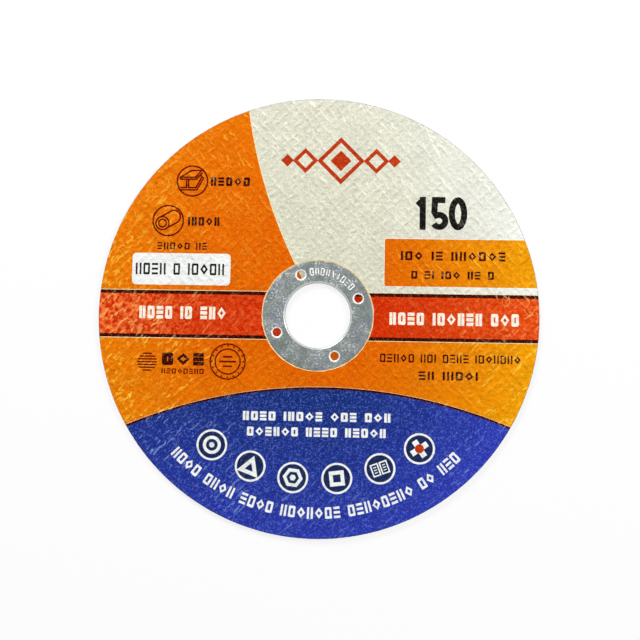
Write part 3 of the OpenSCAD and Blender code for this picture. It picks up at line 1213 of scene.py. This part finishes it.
def ink_finish(ink, inks, relief):
    """One ink on the pressed paper: painted light makes it lighter towards the rim, with painted highlight
    strokes along the net and painted highlight specks.
    """
    f = Finish("ink_" + ink, specular=0.03)
    glint_ink, stroke_share, speck_glint_ink, speck_glint_share = FLECKS[ink]
    glint_colour, speck_glint_colour = to_linear(glint_ink), to_linear(speck_glint_ink)
    relief_light_share, softness = PAINTED_RELIEF_LIGHT.get(ink, (0.0, 1.0))
    outward, across, up = f.from_axis()
    # Painted light: each ink turns to its lighter rim copy towards the rim, more to the right and
    # downwards.
    base = f.mix(painted_rim_light(f, outward, across, up), getattr(inks, ink), getattr(inks, ink + "_rim"))
    # Painted highlight blotches and painted shade of the pressed relief at the ends of the label.
    if relief_light_share:
        base = painted_relief_light(f, base, across, relief_light_share, softness, speck_glint_colour)
    # Painted shade on the paper in the recess under the flange, which shows through the keying holes.
    painted_recess_shade = f.spread(outward, 0.225, 0.245, 0.74, 1.0)
    grain = f.noise(0.68, 1.5)
    # Painted shade where the grain lies low.
    painted_pit_shade = f.spread(grain, 0.30, 0.50, 0.92, 1.0)
    for factor in (f.drift(8, 2, 0.94, 1.04), painted_recess_shade, painted_pit_shade):
        base = f.shade(base, factor)
    # Painted highlight specks where the grain stands high.
    specks = f.spread(grain, 0.54, 0.68, 0, speck_glint_share)
    base = f.mix(specks, base, speck_glint_colour)
    # Fine painted glints in the colour of the painted highlight strokes.
    sparkle_share = 0.12 if relief_light_share else 0.28
    sparkle = f.times(f.spread(f.noise(0.42, 1), 0.64, 0.72), sparkle_share)
    base = f.mix(sparkle, base, glint_colour)
    # Painted highlight strokes along the net, and painted glint drops at the label's left end.
    glint_weights = painted_glint_ways(f, across, up, relief_light_share)
    strokes, ridges = painted_net_glints(f, relief, glint_weights, outward)
    glint_drops = f.spread(f.noise(1.5, 1.0, 1.9, relief.net_turn + 0.25), 0.585, 0.655)
    glint_drops = f.times(glint_drops, f.spread(across, -0.95, -0.60, relief_light_share, 0.0))
    base = f.mix(f.times(f.most(strokes, glint_drops), stroke_share), base, glint_colour)
    rough = f.drift(1.6, 3, 0.28, 0.44)
    pressed = f.bump(ridges, 0.12, f.bump(f.noise(1.5, 2), 0.24))
    return f.done(base, rough, f.bump(grain, 0.13, pressed))


def painted_rim_light(f, outward, across, up):
    """How far an ink is painted lighter towards its rim colour, as painted light: a little all round, more
    to the right and downwards.
    """
    right = f.most(across, 0.0)
    below = f.maths("MINIMUM", up, 0.0)
    painted_light = f.times(f.times(outward, outward), 0.16)
    painted_light = f.plus(painted_light, f.times(f.times(right, right), 0.75))
    return f.plus(painted_light, f.times(f.times(below, below), 0.50))


def painted_relief_light(f, base, across, share, softness, speck_glint_colour):
    """The ink with painted highlight blotches of its specks' colour at the ends of the label, and painted
    light and shade of the pressed relief there.
    """
    left = f.most(f.spread(across, -0.90, -0.35, 1.0, 0.0), f.spread(across, -0.25, 0.05, 0.3, 0.0))
    right = f.spread(across, 0.30, 0.95)
    relief_light_noise = f.noise(1.4, 1.5)
    ends = f.most(left, f.times(right, 0.4))
    painted_blotches = f.times(f.spread(relief_light_noise, 0.51 - softness, 0.51 + softness, 0, share), ends)
    base = f.mix(painted_blotches, base, speck_glint_colour)
    relief_shade_weight = f.most(f.times(left, 0.09 / softness), right)
    painted_relief_shade = f.times(f.spread(relief_light_noise, 0.42, 0.60, -0.5, 0.5), relief_shade_weight)
    return f.shade(base, f.spread(painted_relief_shade, -0.5, 0.5, 0.90, 1.09))


def painted_glint_ways(f, across, up, relief_light_share):
    """How strongly the painted highlights mark each way of the net where the lamps would catch it, from the
    upper left to the lower right.
    """
    diagonal = f.plus(across, up)
    lower_right = f.times(f.spread(across, 0.35, 0.75, 0.0, 0.9), f.spread(up, -0.15, 0.2, 1.0, 0.3))
    rising = f.times(f.spread(diagonal, -0.8, 0.35, 1.0, 0.12), f.spread(across, -0.5, -0.05, 1.0, 0.45))
    rising = f.most(rising, lower_right)
    falling = f.times(f.spread(diagonal, -0.4, 0.9, 0.15, 1.0), f.spread(up, -0.35, 0.1, 0.3, 1.0))
    return {"X": rising, "Y": f.times(falling, 1.0 - 0.5 * relief_light_share)}


def painted_net_glints(f, relief, glint_weights, outward):
    """Broken painted highlight strokes along the strands of both ways, and the ridges that they lie on."""
    dashes = f.spread(f.noise(2.8, 1.5), 0.45, 0.58)
    wander = f.drift(2.2, 1.5, -0.16, 0.16)
    strokes, ridges = [], []
    for part, turn in (("X", 0.10), ("Y", 1.30)):
        loose = f.spread(f.noise(0.95, 1.2, 3.4, relief.net_turn + turn), 0.65, 0.70)
        stroke = f.times(f.strand(part, 0.15, wander), dashes)
        strokes.append(f.times(f.most(f.spread(stroke, 0.08, 0.32), loose), glint_weights[part]))
        ridges.append(f.strand(part, 0.30, wander))
    patches = f.spread(f.noise(6, 1), 0.38, 0.60, 0.2, 1.0)
    patches = f.times(patches, f.spread(outward, 0.35, 0.95, 0.32, 1.0))
    return f.times(f.most(*strokes), patches), f.most(*ridges)


def paper_finish():
    """The cut edge and the back of the paper."""
    f = Finish("paper_edge", specular=0.2)
    base = f.mix(f.noise(0.5, 4), (0.60, 0.58, 0.52), (0.80, 0.78, 0.70))
    return f.done(base, f.drift(1.1, 2, 0.7, 0.9), f.bump(f.noise(0.2, 3), 0.02))


def grit_finish():
    """Grains in dark resin, on the rim and in the bore."""
    f = Finish("grit", specular=0.3)
    base = f.mix(f.spread(f.noise(0.35, 4), 0.35, 0.65), (0.018, 0.016, 0.014), (0.075, 0.066, 0.056))
    sparkle = f.spread(f.noise(0.22, 1), 0.68, 0.74)
    base = f.mix(sparkle, base, (0.32, 0.29, 0.25))
    return f.done(base, f.drift(0.5, 2, 0.55, 0.85), f.bump(f.noise(0.28, 4), 0.06))


def net_finish(relief):
    """The back: dark grit between resin-soaked glass strands."""
    f = Finish("net", specular=0.3)
    grit = f.mix(f.spread(f.noise(0.4, 4), 0.35, 0.65), (0.020, 0.018, 0.016), (0.060, 0.052, 0.045))
    grit = f.mix(f.spread(f.noise(0.24, 1), 0.67, 0.73), grit, (0.24, 0.22, 0.19))
    thread = f.noise(0.22, 2, 7, relief.net_turn)
    cross = f.noise(0.22, 2, 7, relief.net_turn + math.pi / 2)
    fibres = f.spread(f.most(thread, cross), 0.45, 0.75)
    strand = f.mix(fibres, (0.085, 0.070, 0.052), (0.20, 0.17, 0.13))
    base = f.mix(f.spread(f.of_mesh("place", "Z"), 0.12, 0.45), grit, strand)
    base = f.shade(base, f.drift(11, 2, 0.8, 1.2))
    rough = f.drift(0.7, 2, 0.5, 0.8)
    return f.done(base, rough, f.bump(f.plus(f.noise(0.3, 4), thread), 0.05))


def steel_finish():
    """Zinc-plated sheet with cloudy spangle, faint tints and fine peening."""
    f = Finish("plated_steel", metallic=0.9)
    base = f.mix(f.spread(f.noise(3.2, 3), 0.35, 0.65), (0.150, 0.172, 0.163), (0.224, 0.246, 0.241))
    base = f.mix(f.spread(f.noise(5.5, 2), 0.54, 0.70, 0, 0.45), base, (0.187, 0.187, 0.264))
    base = f.mix(f.spread(f.noise(4.1, 2), 0.30, 0.44, 0.4, 0), base, (0.162, 0.221, 0.170))
    base = f.shade(base, f.drift(0.5, 3, 0.72, 1.30))
    clouds = f.spread(f.noise(3.6, 2), 0.44, 0.60, 0.08, 1.0)
    specks = f.times(f.spread(f.noise(0.6, 2), 0.52, 0.62), clouds)
    base = f.mix(f.times(specks, 0.66), base, (0.56, 0.60, 0.60))
    return f.done(base, f.drift(1.3, 3, 0.54, 0.72), f.bump(f.noise(0.6, 3), 0.03))


def bright_finish():
    """Steel laid bare by the press, in the bevels and the marks."""
    f = Finish("bright_steel", metallic=0.85)
    base = f.mix(f.spread(f.noise(0.5, 3), 0.35, 0.65), (0.48, 0.50, 0.49), (0.88, 0.88, 0.86))
    return f.done(base, f.drift(0.4, 2, 0.35, 0.55), f.bump(f.noise(0.3, 3), 0.02))


def bend_highlight_finish():
    """Steel stretched over the bend into the collar, painted lighter than the flange as a highlight where
    the rolled mouth catches light.
    """
    f = Finish("bend_steel_highlight", metallic=0.9)
    # Painted highlight: a lighter steel colour on the bend.
    base = f.mix(f.noise(0.9, 3), (0.40, 0.42, 0.42), (0.60, 0.62, 0.62))
    return f.done(base, f.drift(0.6, 2, 0.28, 0.42), f.bump(f.noise(0.4, 3), 0.01))


# Studio

def shown_ray(nodes, links):
    """One where a ray comes from the camera, a gloss or a clear body, and nought elsewhere."""
    path = nodes.new("ShaderNodeLightPath")
    total = path.outputs["Is Camera Ray"]
    for kind in ("Is Glossy Ray", "Is Transmission Ray"):
        node = nodes.new("ShaderNodeMath")
        node.operation = "MAXIMUM"
        links.new(total, node.inputs[0])
        links.new(path.outputs[kind], node.inputs[1])
        total = node.outputs[0]
    return total


def make_floor():
    """A pale bench that looks white and keeps a faint shadow."""
    half, grey, glow_share, clear_mm = 1.6, 0.94, 0.82, 0.02
    level = DISC_LOW.z - clear_mm * MM
    mesh = bpy.data.meshes.new("bench")
    corners = [(x, y, level) for x, y in box(0, 0, 2 * half, 2 * half)]
    mesh.from_pydata(corners, [], [(0, 1, 2, 3)])
    floor = bpy.data.objects.new("bench", mesh)
    bpy.context.scene.collection.objects.link(floor)
    material = bpy.data.materials.new("bench_white")
    material.use_nodes = True
    nodes, links = material.node_tree.nodes, material.node_tree.links
    nodes.clear()
    diffuse = nodes.new("ShaderNodeBsdfDiffuse")
    diffuse.inputs["Color"].default_value = (grey, grey, grey, 1)
    glow = nodes.new("ShaderNodeEmission")
    mix = nodes.new("ShaderNodeMixShader")
    scaled = nodes.new("ShaderNodeMath")
    scaled.operation = "MULTIPLY"
    scaled.inputs[1].default_value = glow_share
    links.new(shown_ray(nodes, links), scaled.inputs[0])
    links.new(scaled.outputs[0], mix.inputs[0])
    links.new(diffuse.outputs[0], mix.inputs[1])
    links.new(glow.outputs[0], mix.inputs[2])
    out = nodes.new("ShaderNodeOutputMaterial")
    links.new(mix.outputs[0], out.inputs["Surface"])
    mesh.materials.append(material)


def make_world(strength):
    """Even light on the wheel, and white wherever the world itself is seen."""
    world = bpy.data.worlds.new("studio")
    bpy.context.scene.world = world
    world.use_nodes = True
    nodes, links = world.node_tree.nodes, world.node_tree.links
    background = nodes["Background"]
    background.inputs["Color"].default_value = (1, 1, 1, 1)
    level = nodes.new("ShaderNodeMapRange")
    level.inputs["To Min"].default_value = strength
    level.inputs["To Max"].default_value = 1.0
    links.new(shown_ray(nodes, links), level.inputs["Value"])
    links.new(level.outputs["Result"], background.inputs["Strength"])


def direction(turn, lean):
    """A unit vector that leans from straight up towards one side, which is counted from +X."""
    return Vector((math.cos(turn) * math.sin(lean), math.sin(turn) * math.sin(lean), math.cos(lean)))


def make_lamps(studio):
    """One soft lamp on the left, low enough to show the relief, and one on the right, a metre away."""
    size = 0.25
    lamps = (("key_lamp", 118, 56, studio.key_lamp), ("side_lamp", 22, 50, studio.side_lamp))
    for name, turn, lean, power in lamps:
        lamp = bpy.data.lights.new(name, "AREA")
        lamp.energy, lamp.size = power, size
        bulb = bpy.data.objects.new(name, lamp)
        place = direction(math.radians(turn), math.radians(lean))
        facing = (-place).to_track_quat("-Z", "Y").to_matrix().to_4x4()
        bulb.matrix_world = Matrix.Translation(place) @ facing
        bpy.context.scene.collection.objects.link(bulb)


def make_camera(studio):
    """The camera at the photograph's angle."""
    back = direction(studio.turn, studio.tilt)
    up = (Vector((0, 1, 0)) - back * back.y).normalized()
    right = up.cross(back)
    c, s = math.cos(studio.roll), math.sin(studio.roll)
    up, right = up * c - right * s, right * c + up * s
    data = bpy.data.cameras.new("camera")
    data.sensor_width = 36
    data.lens = studio.focal / MM
    data.clip_start = 0.01
    camera = bpy.data.objects.new("camera", data)
    turn = Matrix((right, up, back)).transposed().to_4x4()
    spot = Vector((studio.aim_x, studio.aim_y, 0)) + back * studio.distance
    camera.matrix_world = Matrix.Translation(spot) @ turn
    bpy.context.scene.collection.objects.link(camera)
    bpy.context.scene.camera = camera


# Add-on

class WHEEL_OT_label(bpy.types.Operator):
    """Makes the printed paper label"""

    bl_idname = "wheel.label"
    bl_label = "Printed label"

    def execute(self, context):
        scene = context.scene
        make_label(scene.wheel_print, scene.wheel_relief, scene.wheel_ring, scene.wheel_inks)
        return {"FINISHED"}


class WHEEL_OT_moulding(bpy.types.Operator):
    """Makes the moulded abrasive disc with its glass net"""

    bl_idname = "wheel.moulding"
    bl_label = "Moulding"

    def execute(self, context):
        make_moulding(context.scene.wheel_relief, context.scene.wheel_ring)
        return {"FINISHED"}


class WHEEL_OT_ring(bpy.types.Operator):
    """Makes the pressed steel arbor ring"""

    bl_idname = "wheel.ring"
    bl_label = "Arbor ring"

    def execute(self, context):
        make_ring(context.scene.wheel_ring)
        return {"FINISHED"}


class WHEEL_OT_studio(bpy.types.Operator):
    """Sets up the bench, the light and the camera"""

    bl_idname = "wheel.studio"
    bl_label = "Studio"

    def execute(self, context):
        studio = context.scene.wheel_studio
        context.scene.view_settings.view_transform = "Standard"
        make_floor()
        make_world(studio.sky)
        make_lamps(studio)
        make_camera(studio)
        return {"FINISHED"}


class WHEEL_PT_panel(bpy.types.Panel):
    """Lists the pieces and their sizes"""

    bl_idname = "WHEEL_PT_panel"
    bl_label = "Cut-off wheel"
    bl_space_type = "VIEW_3D"
    bl_region_type = "UI"
    bl_category = "Wheel"

    def draw(self, context):
        for operator in OPERATORS:
            self.layout.operator(operator.bl_idname)
        for name, group in GROUPS.items():
            column = self.layout.box()
            column.label(text=group.__doc__)
            for key in group.__annotations__:
                column.prop(getattr(context.scene, name), key)


OPERATORS = (WHEEL_OT_label, WHEEL_OT_moulding, WHEEL_OT_ring, WHEEL_OT_studio)
GROUPS = {
    "wheel_print": PrintSizes,
    "wheel_inks": InkColours,
    "wheel_relief": ReliefSizes,
    "wheel_ring": RingSizes,
    "wheel_studio": StudioSettings,
}


def register():
    for item in (*GROUPS.values(), *OPERATORS, WHEEL_PT_panel):
        bpy.utils.register_class(item)
    for name, group in GROUPS.items():
        setattr(bpy.types.Scene, name, PointerProperty(type=group))


def unregister():
    for name in GROUPS:
        delattr(bpy.types.Scene, name)
    for item in reversed((*GROUPS.values(), *OPERATORS, WHEEL_PT_panel)):
        bpy.utils.unregister_class(item)


def main():
    register()
    bpy.ops.wheel.label()
    bpy.ops.wheel.moulding()
    bpy.ops.wheel.ring()
    bpy.ops.wheel.studio()


if __name__ == "__main__":
    main()
